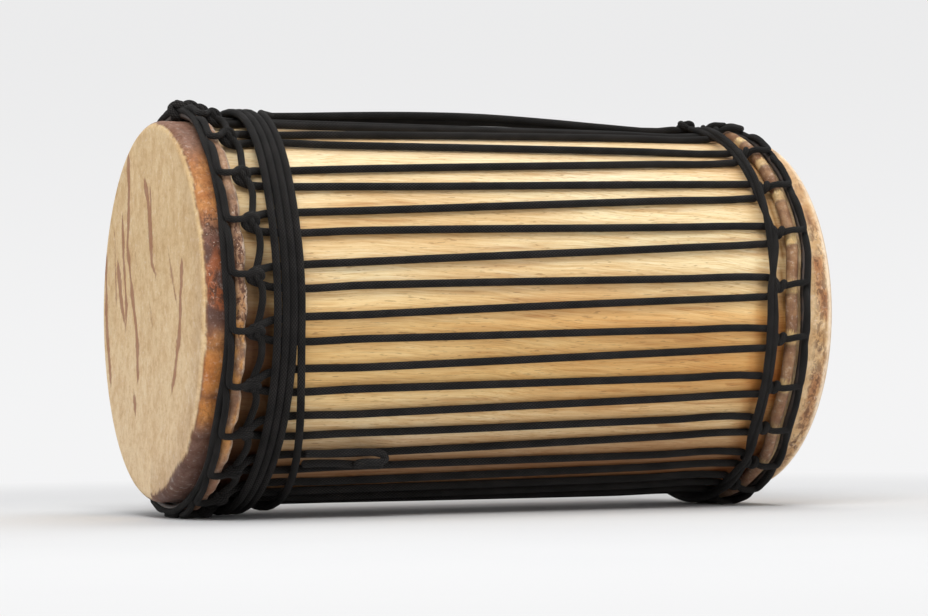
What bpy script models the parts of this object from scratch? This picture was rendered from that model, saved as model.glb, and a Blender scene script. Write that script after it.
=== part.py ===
"""A small two-headed rope drum (a kenkeni-size dunun), lying on its side.

One hollow wooden shell carries a rawhide head on each end. Each head is folded round an iron flesh ring,
a roped iron crown ring presses the fold down, and links over the fold hold an inner rope line. One long
lacing rope zigzags between the two ends, and its spare length runs along the top, is wound round the
shell and ends in a folded tail.

Units are metres, +Z is up and the drum's axis is along X. The near head faces -X.
Run it with: blender --background --python part.py
"""

import math

import bmesh
import bpy
from mathutils import Vector

MM = 0.001

# Driving dimensions
DRUM_LENGTH = 496 * MM  # over both heads
SHELL_RADIUS = 138 * MM
SHELL_WALL = 15 * MM
SKIN_THICKNESS = 1.6 * MM
CLEARANCE = 0.4 * MM  # left between touching pieces
LOOPS = 24  # links at each end, and turns of the lacing at each end
FACETS = 48  # sides of everything turned about the drum's axis

# Ropes and rods
ROPE = 5.6 * MM
LINK_ROPE = 4.8 * MM
LINE_ROPE = 5.0 * MM
ROD = 5.0 * MM
CROWN_COVER_RADIUS = 4.6 * MM

# Places along the drum, measured from the face of the near head. The far end's rings and ropes repeat
# them, FAR_INSET further in from its own head.
SHELL_EDGE = SKIN_THICKNESS + 2 * CLEARANCE
CROWN_AT = 14.5 * MM
FLESH_AT = 23.8 * MM
TURN_AT = 37.0 * MM
LINE_AT = 42.7 * MM
FAR_INSET = 13 * MM
WRAPS_AT = 50.6 * MM  # the turn nearest the head
WRAP_TURNS = 4
WRAP_LEAD = 6 * MM  # the first turn starts this far off, beside the spare run
WRAP_SAG = 17 * MM  # and it hangs this far off under the drum
WRAP_LEAN = 8 * MM  # all turns lean this far toward the far head at the top

# Angles round the drum, from the top toward the front (-Y), in degrees
LOOP_STEP = 360 / LOOPS
FIRST_LOOP = LOOP_STEP / 2
LEG_ANGLE = 3.05  # from a link to each lacing run beside it

# Radii worked out from the above
SKIN_INSIDE = SHELL_RADIUS + CLEARANCE
SKIN_OUTSIDE = SKIN_INSIDE + SKIN_THICKNESS
FLESH_RADIUS = SKIN_OUTSIDE + CLEARANCE + ROD / 2
FOLD_INSIDE = ROD / 2 + CLEARANCE
FOLD_OUTSIDE = FOLD_INSIDE + SKIN_THICKNESS
CROWN_RADIUS = SKIN_OUTSIDE + CLEARANCE + CROWN_COVER_RADIUS
LACING_RADIUS = SHELL_RADIUS + CLEARANCE + ROPE / 2
OVER_LACING = LACING_RADIUS + ROPE / 2 + CLEARANCE
LINK_TOP = FLESH_RADIUS + FOLD_OUTSIDE + CLEARANCE + LINK_ROPE / 2 + 0.1 * MM
LINK_LOW = SHELL_RADIUS + CLEARANCE + LINK_ROPE / 2 + 0.1 * MM
LINE_RADIUS = OVER_LACING + LINE_ROPE / 2 + CLEARANCE
WRAP_RADIUS = OVER_LACING + ROPE / 2 + 0.6 * MM
LINK_FLAT = LINK_ROPE / 2 * math.tan(math.radians(30))  # half the width of a link's outer flat
HALF_STEP = math.radians(LOOP_STEP / 2)
AXIS_HEIGHT = (LINK_TOP + LINK_ROPE / 2) * math.cos(HALF_STEP) + LINK_FLAT * math.sin(HALF_STEP)

COLOURS = {
    "light_wood": ((0.62, 0.42, 0.20), 0.55, 0.0),
    "rawhide": ((0.60, 0.45, 0.29), 0.60, 0.0),
    "black_rope": ((0.018, 0.018, 0.019), 0.75, 0.0),
    "iron": ((0.20, 0.19, 0.18), 0.55, 0.9),
}


def clear_scene():
    for old in list(bpy.data.objects):
        bpy.data.objects.remove(old, do_unlink=True)


def material_for(obj, kind):
    """Give the object its own material of the stated kind."""
    colour, roughness, metallic = COLOURS[kind]
    material = bpy.data.materials.new(obj.name + "_" + kind)
    material.use_nodes = True
    shader = material.node_tree.nodes["Principled BSDF"]
    shader.inputs["Base Color"].default_value = (*colour, 1.0)
    shader.inputs["Roughness"].default_value = roughness
    shader.inputs["Metallic"].default_value = metallic
    obj.data.materials.clear()
    obj.data.materials.append(material)


def show(obj, kind):
    bpy.context.scene.collection.objects.link(obj)
    material_for(obj, kind)
    return obj


def along(end, distance):
    """X of a point that lies this far in from the head of one end."""
    if end == "near":
        return -DRUM_LENGTH / 2 + distance
    return DRUM_LENGTH / 2 - distance


def on_drum(x, radius, degrees):
    """A point at a radius from the drum's axis, turned from the top toward the front."""
    turn = math.radians(degrees)
    return Vector((x, -radius * math.sin(turn), AXIS_HEIGHT + radius * math.cos(turn)))


def inset(end):
    """How much further in than the near end's this end's rings and ropes lie."""
    return FAR_INSET if end == "far" else 0.0


def at_end(end, distance, radius, degrees):
    """A point among one end's rings and ropes."""
    return on_drum(along(end, distance + inset(end)), radius, degrees)


def arc(centre, radius, start, stop, steps):
    """Points of a circular arc in the profile plane of (x, radius), angles in degrees."""
    points = []
    for step in range(steps + 1):
        turn = math.radians(start + (stop - start) * step / steps)
        points.append((centre[0] + radius * math.cos(turn), centre[1] + radius * math.sin(turn)))
    return points


def mesh_object(name, bm, kind, smooth=True):
    bmesh.ops.remove_doubles(bm, verts=bm.verts, dist=1e-6)
    bmesh.ops.recalc_face_normals(bm, faces=bm.faces)
    mesh = bpy.data.meshes.new(name)
    bm.to_mesh(mesh)
    bm.free()
    for face in mesh.polygons:
        face.use_smooth = smooth
    return show(bpy.data.objects.new(name, mesh), kind)


def turned(name, profile, kind, closed_section=True):
    """Spin a profile of (x, radius) points about the drum's axis."""
    bm = bmesh.new()
    verts = [bm.verts.new(on_drum(x, radius, 0)) for x, radius in profile]
    edges = [bm.edges.new(pair) for pair in zip(verts, verts[1:])]
    if closed_section:
        edges.append(bm.edges.new((verts[-1], verts[0])))
    bmesh.ops.spin(
        bm,
        geom=verts + edges,
        cent=(0, 0, AXIS_HEIGHT),
        axis=(1, 0, 0),
        angle=math.tau,
        steps=FACETS,
        use_merge=True,
    )
    return mesh_object(name, bm, kind)


def mirrored_profile(end, profile):
    """Profile points given as (distance from the head, radius), placed at one end."""
    return [(along(end, distance), radius) for distance, radius in profile]


def rope_curve(name, points, diameter, resolution=1, closed=False):
    """A rope as a curve with a round bevel and filled ends."""
    curve = bpy.data.curves.new(name, "CURVE")
    curve.dimensions = "3D"
    curve.bevel_depth = diameter / 2
    curve.bevel_resolution = resolution
    curve.use_fill_caps = True
    curve.twist_mode = "MINIMUM"
    spline = curve.splines.new("POLY")
    spline.points.add(len(points) - 1)
    for place, point in zip(spline.points, points):
        place.co = (*point, 1.0)
    spline.use_cyclic_u = closed
    spline.use_smooth = True
    return show(bpy.data.objects.new(name, curve), "black_rope")


def add_strap(bm, points, centre_line, thickness):
    """Sweep a six-sided section along points, with flats toward and away from the drum's axis."""
    half = thickness / 2 / math.cos(math.radians(30))
    rings = []
    for index, point in enumerate(points):
        before = points[max(index - 1, 0)]
        after = points[min(index + 1, len(points) - 1)]
        tangent = (after - before).normalized()
        side = centre_line.normalized()
        outward = side.cross(tangent).normalized()
        ring = []
        for corner in range(6):
            turn = math.radians(60 * corner)
            ring.append(bm.verts.new(point + half * (math.cos(turn) * side + math.sin(turn) * outward)))
        rings.append(ring)
    for first, second in zip(rings, rings[1:]):
        for corner in range(6):
            other = (corner + 1) % 6
            bm.faces.new((first[corner], first[other], second[other], second[corner]))
    bm.faces.new(rings[0])
    bm.faces.new(rings[-1])


def make_shell():
    """The hollow wooden cylinder, with a rounded bearing edge at each end."""
    rounding = 6 * MM
    inner = SHELL_RADIUS - SHELL_WALL
    crest = SHELL_RADIUS - rounding
    half = [(SHELL_EDGE + 5 * MM, inner), (SHELL_EDGE, crest - 2 * MM)]
    half += arc((SHELL_EDGE + rounding, crest), rounding, 180, 90, 3)
    near = mirrored_profile("near", half)
    far = mirrored_profile("far", half)
    turned("shell", near + far[::-1], "light_wood")


def make_skin(end):
    """A rawhide head: a flat disc, a side over the bearing edge and a fold round the flesh ring."""
    outer = 7.6 * MM
    inner = outer - SKIN_THICKNESS
    edge_centre = (outer, SKIN_OUTSIDE - outer)
    fold_centre = (FLESH_AT + inset(end), FLESH_RADIUS)
    lip = 140
    profile = [(0.0, 0.0)]
    profile += arc(edge_centre, outer, 180, 90, 4)
    profile += arc(fold_centre, FOLD_INSIDE, -90, lip, 5)
    profile += arc(fold_centre, FOLD_OUTSIDE, lip, -90, 6)
    profile += arc(edge_centre, inner, 90, 180, 4)
    profile += [(SKIN_THICKNESS, 0.0)]
    turned(end + "_skin", mirrored_profile(end, profile), "rawhide", closed_section=False)


def make_hoop(name, end, distance, radius):
    """An iron hoop of round rod, as a six-sided ring."""
    section = arc((distance + inset(end), radius), ROD / 2, 0, 300, 5)
    turned(name, mirrored_profile(end, section), "iron")


def crown_cover(end):
    """The rope served over the crown ring, an open channel with its slot toward the skin."""
    centre = (CROWN_AT + inset(end), CROWN_RADIUS)
    bore = ROD / 2 + CLEARANCE
    section = arc(centre, CROWN_COVER_RADIUS, -55, 235, 6)
    section += arc(centre, bore, 235, -55, 5)
    return turned(end + "_cradle_rope", mirrored_profile(end, section), "black_rope")


def link_points(end, degrees):
    """The run of one link: off the crown ring, over the fold, down to the shell and under the line."""
    path = (
        (17.0 * MM, LINK_TOP),
        (25.2 * MM, LINK_TOP),
        (30.4 * MM, LINK_TOP - 2.2 * MM),
        (31.8 * MM, LINK_LOW + 2.4 * MM),
        (33.4 * MM, LINK_LOW),
        (LINE_AT + 1.2 * MM, LINK_LOW),
    )
    return [at_end(end, distance, radius, degrees) for distance, radius in path]


def make_cradle(end):
    """The crown ring's rope cover with all its links welded on."""
    cover = crown_cover(end)
    bm = bmesh.new()
    for loop in range(LOOPS):
        degrees = FIRST_LOOP + loop * LOOP_STEP
        outward = on_drum(0, 1, degrees) - on_drum(0, 0, degrees)
        sideways = Vector((1, 0, 0)).cross(outward)
        add_strap(bm, link_points(end, degrees), sideways, LINK_ROPE)
    bmesh.ops.recalc_face_normals(bm, faces=bm.faces)
    mesh = bpy.data.meshes.new(end + "_links")
    bm.to_mesh(mesh)
    bm.free()
    links = bpy.data.objects.new(end + "_links", mesh)
    bpy.context.scene.collection.objects.link(links)
    weld = cover.modifiers.new("weld_links", "BOOLEAN")
    weld.operation = "UNION"
    weld.solver = "EXACT"
    weld.object = links
    links.hide_render = True
    links.display_type = "WIRE"


def make_line(end):
    """The inner rope line that lies over the lacing and the ends of the links."""
    points = []
    for facet in range(FACETS):
        points.append(at_end(end, LINE_AT, LINE_RADIUS, facet * 360 / FACETS))
    rope_curve(end + "_cradle_line", points, LINE_ROPE, closed=True)


def turn_points(end, degrees):
    """The lacing's turn at one link: up off the shell, over the link and down again."""
    rise = (
        (TURN_AT + 3.0 * MM, LACING_RADIUS, LEG_ANGLE),
        (TURN_AT + 0.6 * MM, LACING_RADIUS + 2.2 * MM, LEG_ANGLE - 0.15),
        (TURN_AT, LACING_RADIUS + 5.6 * MM, 1.25),
    )
    up = [at_end(end, distance, radius, degrees - turn) for distance, radius, turn in rise]
    down = [at_end(end, distance, radius, degrees + turn) for distance, radius, turn in rise]
    return up + down[::-1]


def make_lacing():
    """One rope from the start knot, to and fro between the ends, and back to the start knot."""
    start = FIRST_LOOP - LOOP_STEP
    knot_gap = TURN_AT + 3.2 * MM
    points = [at_end("near", knot_gap, LACING_RADIUS, start + LEG_ANGLE)]
    for loop in range(LOOPS):
        near_angle = start + loop * LOOP_STEP
        if loop > 0:
            points += turn_points("near", near_angle)
        points += turn_points("far", near_angle)
    points.append(at_end("near", knot_gap, LACING_RADIUS, start + 360 - LEG_ANGLE))
    rope_curve("lacing_rope", points, ROPE)


def lump(name, centre, size, long_axis, up, squash_power=2.4):
    """A rounded solid for a knot, with its longest size along long_axis and its least along up."""
    bm = bmesh.new()
    bmesh.ops.create_uvsphere(bm, u_segments=12, v_segments=7, radius=1)
    across = up.cross(long_axis).normalized()
    for vert in bm.verts:
        reach = sum(abs(value) ** squash_power for value in vert.co) ** (1 / squash_power)
        local = vert.co / reach
        offset = long_axis * local.x * size[0] / 2
        offset += across * local.y * size[1] / 2
        offset += up * local.z * size[2] / 2
        vert.co = centre + offset
    mesh_object(name, bm, "black_rope")


def make_knots():
    x_axis = Vector((1, 0, 0))
    sideways = Vector((0, 1, 0))
    crown_knot = (24 * MM, 19 * MM, 9 * MM)
    knot_low = CROWN_RADIUS + CROWN_COVER_RADIUS + CLEARANCE
    centre = at_end("near", CROWN_AT + 1.5 * MM, knot_low + crown_knot[2] / 2, 0)
    lump("near_crown_knot", centre, crown_knot, x_axis, Vector((0, 0, 1)))

    start = FIRST_LOOP - LOOP_STEP
    up = (on_drum(0, 1, start) - on_drum(0, 0, start)).normalized()
    start_knot = (22 * MM, 5.0 * MM, 5.0 * MM)
    centre = at_end("near", TURN_AT, LINK_LOW + LINK_ROPE / 2 + CLEARANCE + start_knot[2] / 2, start)
    lump("near_start_knot", centre, start_knot, sideways, up)

    far_knot = (18 * MM, 17 * MM, 8 * MM)
    centre = at_end("far", LINE_AT + 14 * MM, OVER_LACING + far_knot[2] / 2, 0)
    lump("far_tie_knot", centre, far_knot, x_axis, Vector((0, 0, 1)))


def ease(value, start, stop):
    """0 before start, 1 after stop, and a smooth rise between them."""
    share = min(max((value - start) / (stop - start), 0.0), 1.0)
    return share * share * (3 - 2 * share)


def wrap_distance(degrees):
    """How far in from the near head the wrapped rope lies, at an angle counted on through all turns."""
    pitch = ROPE + 0.15 * MM
    turn = int(degrees // 360)
    within = degrees - 360 * turn
    side_step = ease(within, 320, 360)
    lean = 1 - ease(within, 0, 70) + ease(within, 290, 360)
    distance = WRAPS_AT + pitch * (WRAP_TURNS - 1 - turn - side_step) + WRAP_LEAN * lean
    if turn == 0:
        distance += WRAP_LEAD * (1 - ease(within, 0, 25))
        distance += WRAP_SAG * ease(within, 95, 185) * (1 - ease(within, 220, 330))
    return distance


def make_wraps():
    """The spare rope wound round the shell, over the lacing. The first turn sags away at the bottom."""
    step = 10
    first = 4
    last = 360 * WRAP_TURNS - 45
    points = []
    for count in range((last - first) // step + 1):
        degrees = first + count * step
        points.append(on_drum(along("near", wrap_distance(degrees)), WRAP_RADIUS, degrees))
    rope_curve("girth_wraps", points, ROPE)


def make_spare_run():
    """The spare rope along the top: under the wraps, up over one run of the lacing, down again to the far
    tie, and folded back beside itself."""
    crossing = OVER_LACING + ROPE / 2 + 0.2 * MM
    climbing = (LACING_RADIUS + crossing) / 2
    half = (  # distance from each end's line, angle round the drum, radius
        (13 * MM, -0.30, LACING_RADIUS),
        (47 * MM, -0.93, LACING_RADIUS),
        (69 * MM, -0.80, climbing),
        (91 * MM, -0.65, crossing),
    )
    spread = 1.35
    out = [(along("near", LINE_AT + inward), degrees, radius) for inward, degrees, radius in half]
    out.append((along("near", DRUM_LENGTH / 2), 0.0, crossing + 3.0 * MM))
    for inward, degrees, radius in half[::-1]:
        out.append((along("far", LINE_AT + FAR_INSET + inward), -degrees, radius))
    points = [on_drum(x, radius, degrees + spread) for x, degrees, radius in out]
    points += [on_drum(x, radius, degrees - spread) for x, degrees, radius in out[::-1]]
    rope_curve("spare_run", points, ROPE, resolution=2)


def make_tail():
    """The folded tail of the spare rope, lying on the lacing beside the wraps."""
    tail_x = (86, 94, 103, 112, 121, 130, 137)
    upper = 134.0
    lower = 139.6
    radius = OVER_LACING + ROPE / 2
    points = [on_drum(along("near", x * MM), radius, upper) for x in tail_x]
    middle = (upper + lower) / 2
    points.append(on_drum(along("near", 143.0 * MM), radius, upper + 0.8))
    points.append(on_drum(along("near", 145.5 * MM), radius, middle))
    points.append(on_drum(along("near", 143.0 * MM), radius, lower - 0.8))
    points += [on_drum(along("near", x * MM), radius, lower) for x in tail_x[::-1]]
    rope_curve("tail_loop", points, ROPE, resolution=2)


def main():
    clear_scene()
    make_shell()
    for end in ("near", "far"):
        make_skin(end)
        make_hoop(end + "_flesh_ring", end, FLESH_AT, FLESH_RADIUS)
        make_hoop(end + "_crown_ring", end, CROWN_AT, CROWN_RADIUS)
        make_cradle(end)
        make_line(end)
    make_lacing()
    make_spare_run()
    make_wraps()
    make_tail()
    make_knots()


main()
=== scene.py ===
"""Looks for the small rope-laced drum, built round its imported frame.

The camera and the one free cord come first, then the shell, the heads, the ropes and the studio.
Places on the drum are given as a distance in from one head, a radius from the axis and an angle
from the top toward the viewer, in millimetres and degrees. Everything else is in metres.
"""
import math
import random

import bmesh
import bpy
import numpy as np
from mathutils import Matrix, Vector, noise


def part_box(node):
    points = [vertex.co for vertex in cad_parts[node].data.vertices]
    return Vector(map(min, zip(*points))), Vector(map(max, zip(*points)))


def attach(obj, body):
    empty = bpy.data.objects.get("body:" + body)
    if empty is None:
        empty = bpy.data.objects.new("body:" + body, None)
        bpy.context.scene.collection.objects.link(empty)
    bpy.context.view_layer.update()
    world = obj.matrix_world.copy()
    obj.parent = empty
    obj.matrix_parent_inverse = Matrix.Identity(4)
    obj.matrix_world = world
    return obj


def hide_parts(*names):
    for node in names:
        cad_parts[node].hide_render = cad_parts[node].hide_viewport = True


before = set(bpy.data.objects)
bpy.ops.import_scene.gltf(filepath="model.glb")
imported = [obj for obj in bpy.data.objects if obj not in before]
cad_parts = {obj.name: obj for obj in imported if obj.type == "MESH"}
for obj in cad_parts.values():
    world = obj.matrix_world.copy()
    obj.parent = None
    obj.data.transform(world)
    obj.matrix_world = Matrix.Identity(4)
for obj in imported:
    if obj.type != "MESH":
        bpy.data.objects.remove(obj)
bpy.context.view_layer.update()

dice = random.Random(11)

MM = 0.001
near_skin_low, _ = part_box("near_skin")
_, far_skin_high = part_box("far_skin")
shell_low, shell_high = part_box("shell")
NEAR_HEAD_X = near_skin_low.x
FAR_HEAD_X = far_skin_high.x
DRUM_LENGTH = (FAR_HEAD_X - NEAR_HEAD_X) / MM
AXIS_Z = (shell_low.z + shell_high.z) / 2
SHELL_RADIUS = (shell_high.z - shell_low.z) / 2 / MM
SHELL_WALL = 15.0
SKIN_OUTSIDE = 140.0
FLESH_AT = 23.8
FLESH_RADIUS = 142.9
FOLD_INSIDE = 2.9
ROD_RADIUS = 2.5
ROPE = 5.6
LINK_ROPE = 4.8
CROWN_ROPE = 5.0
LINE_ROPE = 5.0
HITCH_ROPE = 4.6
SKIN_RIM = 145
FAR_LINE_AT, FAR_LINE_RADIUS = 41.8, 146.4
LOOPS = 24
LOOP_STEP = 360 / LOOPS
FIRST_LOOP = LOOP_STEP / 2
LEG_ANGLE = 3.05
FAR_INSET = 13.0
ON_SHELL = SHELL_RADIUS + ROPE / 2 + 0.15
WRAP_RADIUS = 147.8
MOST_TURN = 5.0  # degrees between two rings of a rope's mesh
LONGEST_STEP = 14 * MM
ROPE_SIDES = 12
AROUND = 432  # points round the shell and the heads
TURNS = [360 * column / AROUND for column in range(AROUND)]


# ---- places and paths


def axis_point(x, radius, degrees):
    """A point in metres, from a place along the axis in metres, a radius in mm and an angle in degrees."""
    turn = math.radians(degrees)
    return (x, -radius * MM * math.sin(turn), AXIS_Z + radius * MM * math.cos(turn))


def drum_point(end, inward, radius, degrees):
    """A point in metres, from a distance in from one head, a radius and an angle in mm and degrees."""
    x = NEAR_HEAD_X + inward * MM if end == "near" else FAR_HEAD_X - inward * MM
    return axis_point(x, radius, degrees)


def near_points(stations):
    return [drum_point("near", *station) for station in stations]


def ease(value, start, stop):
    """0 before start, 1 after stop, and a smooth rise between them."""
    share = min(max((value - start) / (stop - start), 0.0), 1.0)
    return share * share * (3 - 2 * share)


def window(value, start, stop, soft=8.0):
    """1 between start and stop, 0 outside, with soft edges."""
    return ease(value, start - soft, start + soft) * (1 - ease(value, stop - soft, stop + soft))


def signed(degrees):
    """The same angle between -180 and 180."""
    return (degrees + 180) % 360 - 180


def wobble(x, y, z):
    """Smooth noise, mostly between -0.5 and 0.5."""
    return noise.noise(Vector((x, y, z)))


def bell(value, width):
    """1 at 0, falling away on both sides."""
    return math.exp(-((value / width) ** 2))


def angle_of(place):
    """A place's angle round the drum, in degrees from the top toward the viewer."""
    return math.degrees(math.atan2(-place.y, place.z - AXIS_Z))


def patchy(place, scale):
    """Smooth noise between 0 and 1 at a place, finer as the scale rises."""
    return noise.noise(place * scale) * 0.5 + 0.5


def from_link(degrees):
    """The angle to the nearest link."""
    return abs((degrees - FIRST_LOOP + LOOP_STEP / 2) % LOOP_STEP - LOOP_STEP / 2)


def hoop_sway(end, degrees):
    """How far the far end's rings and ropes sit out of square with the drum, in mm."""
    return -3.0 + 5.5 * window(signed(degrees), 78, 134, 9) if end == "far" else 0.0


def hoop_point(end, inward, radius, degrees):
    """A point among one end's rings and ropes, by its distance in from where that end's set begins."""
    inset = FAR_INSET if end == "far" else 0.0
    return drum_point(end, inward + inset + hoop_sway(end, degrees), radius, degrees)


def smooth_line(points, closed=False):
    """Points about a millimetre apart on a smooth curve through the given ones."""
    points = np.array(points, float)
    if closed:
        points = np.vstack([points, points[:1]])
    steps = np.linalg.norm(np.diff(points, axis=0), axis=1)
    slopes = np.diff(points, axis=0) / steps[:, None]
    weighted = slopes[:-1] * steps[1:, None] + slopes[1:] * steps[:-1, None]
    inner = weighted / (steps[:-1] + steps[1:])[:, None]
    if closed:
        join = (slopes[-1] * steps[0] + slopes[0] * steps[-1]) / (steps[0] + steps[-1])
        tangents = np.vstack([join, inner, join])
    else:
        tangents = np.vstack([slopes[0], inner, slopes[-1]])
    parts = []
    for index, step in enumerate(steps):
        count = max(2, math.ceil(step / MM))
        t = (np.arange(count) / count)[:, None]
        parts.append(
            (2 * t**3 - 3 * t**2 + 1) * points[index]
            + (t**3 - 2 * t**2 + t) * step * tangents[index]
            + (3 * t**2 - 2 * t**3) * points[index + 1]
            + (t**3 - t**2) * step * tangents[index + 1]
        )
    if not closed:
        parts.append(points[-1:])
    return np.vstack(parts)


def thinned(points):
    """The points that a tube needs: many in the bends and few on the straights."""
    kept = [0]
    heading = points[1] - points[0]
    heading = heading / np.linalg.norm(heading)
    for index in range(1, len(points) - 1):
        ahead = points[index + 1] - points[index]
        ahead = ahead / np.linalg.norm(ahead)
        turn = math.degrees(math.acos(min(1.0, max(-1.0, float(ahead @ heading)))))
        if turn > MOST_TURN or np.linalg.norm(points[index] - points[kept[-1]]) > LONGEST_STEP:
            kept.append(index)
            heading = ahead
    kept.append(len(points) - 1)
    return points[kept]


# ---- meshes


def link_object(obj, *replaced, slot=None):
    """Put a finished object in the scene, riding on the drum's one body."""
    bpy.context.scene.collection.objects.link(obj)
    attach(obj, "root")
    if replaced:
        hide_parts(*replaced)
    return obj


def tube_parts(points, diameter, closed):
    """Vertices, faces and per-corner UVs of one rope strand along the points."""
    sides = ROPE_SIDES
    points = np.array(points, float)
    count = len(points)
    if closed:
        ahead = np.roll(points, -1, 0) - points
        tangents = ahead + np.roll(ahead, 1, 0)
    else:
        tangents = np.gradient(points, axis=0)
    tangents /= np.linalg.norm(tangents, axis=1)[:, None]
    normals = np.zeros_like(points)
    start = np.cross(tangents[0], (0.31, 0.87, 0.39))
    normals[0] = start / np.linalg.norm(start)
    for index in range(1, count):
        carried = normals[index - 1] - tangents[index] * (normals[index - 1] @ tangents[index])
        normals[index] = carried / np.linalg.norm(carried)
    lengths = np.concatenate([[0], np.cumsum(np.linalg.norm(np.diff(points, axis=0), axis=1))])
    twist = np.zeros(count)
    if closed:
        carried = normals[-1] - tangents[0] * (normals[-1] @ tangents[0])
        off = math.atan2(float(np.cross(carried, normals[0]) @ tangents[0]), float(carried @ normals[0]))
        twist = off * lengths / (lengths[-1] + np.linalg.norm(points[0] - points[-1]))
    sideways = np.cross(tangents, normals)
    corners = np.arange(sides) * math.tau / sides
    angle = corners[None, :] + twist[:, None]
    ring = np.cos(angle)[..., None] * normals[:, None] + np.sin(angle)[..., None] * sideways[:, None]
    radius = diameter / 2
    rows = [points[:, None] + radius * ring]
    along = lengths / (math.pi * diameter)
    if not closed:  # rounded ends
        for row, centre, way in ((0, points[0], -tangents[0]), (-1, points[-1], tangents[-1])):
            caps = []
            for share in (0.5, 0.8):
                reach = radius * math.sqrt(1 - share * share)
                caps.append((centre + way * radius * share * 0.7)[None] + reach * ring[row])
            rows.insert(0, np.array(caps[::-1])) if row == 0 else rows.append(np.array(caps))
        along = np.concatenate([[along[0]] * 2, along, [along[-1]] * 2])
    vertices = np.concatenate(rows).reshape(-1, 3)
    ring_count = len(vertices) // sides
    first = np.arange(ring_count if closed else ring_count - 1)
    this_ring, next_ring = first[:, None] * sides, (first + 1)[:, None] % ring_count * sides
    column = np.arange(sides)[None]
    beside = (column + 1) % sides
    corner_sets = (this_ring + column, this_ring + beside, next_ring + beside, next_ring + column)
    faces = np.stack(corner_sets, -1).reshape(-1, 4).tolist()
    around = np.tile(np.arange(sides), len(first)) / sides
    low = np.repeat(along[first], sides)
    if closed:
        total = (lengths[-1] + np.linalg.norm(points[0] - points[-1])) / (math.pi * diameter)
        high = np.repeat(np.append(along[1:], total), sides)
    else:
        high = np.repeat(along[first + 1], sides)
    wide = around + 1 / sides
    uvs = np.stack([around, low, wide, low, wide, high, around, high], 1).reshape(-1, 2).tolist()
    if not closed:
        faces += [list(range(sides))[::-1], list(range(len(vertices) - sides, len(vertices)))]
        uvs += [[0.0, along[0]]] * sides + [[0.0, along[-1]]] * sides
    return vertices, faces, uvs


def smooth_object(mesh, material):
    mesh.polygons.foreach_set("use_smooth", [True] * len(mesh.polygons))
    mesh.materials.append(material)
    return bpy.data.objects.new(mesh.name, mesh)


def rope_object(name, strands, material):
    """One mesh object of several rope strands, each (points, diameter in mm, closed)."""
    vertices, faces, uvs = [], [], []
    for points, diameter, closed in strands:
        line = thinned(smooth_line(points, closed))
        part, part_faces, part_uvs = tube_parts(line, diameter * MM, closed)
        start = len(vertices)
        vertices += part.tolist()
        faces += [[start + corner for corner in face] for face in part_faces]
        uvs += part_uvs
    mesh = bpy.data.meshes.new(name)
    mesh.from_pydata(vertices, [], faces)
    layer = mesh.uv_layers.new(name="rope")
    layer.data.foreach_set("uv", np.array(uvs, np.float32).ravel())
    mesh.validate()
    return smooth_object(mesh, material)


def turned_object(name, rows, material, wraps):
    """A mesh from rows of points that each run once round the drum's axis.
    wraps says whether the last row joins the first; if not, both end rows are single points."""
    rows = np.array(rows, float)
    row_count, around = rows.shape[:2]
    last = row_count if wraps else row_count - 1
    first = np.arange(last)[:, None] * around
    following = (np.arange(last)[:, None] + 1) % row_count * around
    column = np.arange(around)[None]
    beside = (column + 1) % around
    corner_sets = (first + column, first + beside, following + beside, following + column)
    quads = np.stack(corner_sets, -1).reshape(-1, 4)
    mesh = bpy.data.meshes.new(name)
    mesh.from_pydata(rows.reshape(-1, 3).tolist(), [], quads.tolist())
    bm = bmesh.new()
    bm.from_mesh(mesh)
    if not wraps:
        bm.verts.ensure_lookup_table()
        poles = list(bm.verts[:around]) + list(bm.verts[-around:])
        bmesh.ops.remove_doubles(bm, verts=poles, dist=1e-7)
    bmesh.ops.recalc_face_normals(bm, faces=bm.faces)
    bm.to_mesh(mesh)
    bm.free()
    return smooth_object(mesh, material)


def paint(obj, layer_name, colour_of):
    """Store a colour at every vertex, from a function of its place on the drum."""
    layer = obj.data.color_attributes.new(layer_name, "FLOAT_COLOR", "POINT")
    values = []
    for vertex in obj.data.vertices:
        values += [*colour_of(vertex.co), 1.0]
    layer.data.foreach_set("color", values)


# ---- materials


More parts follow.
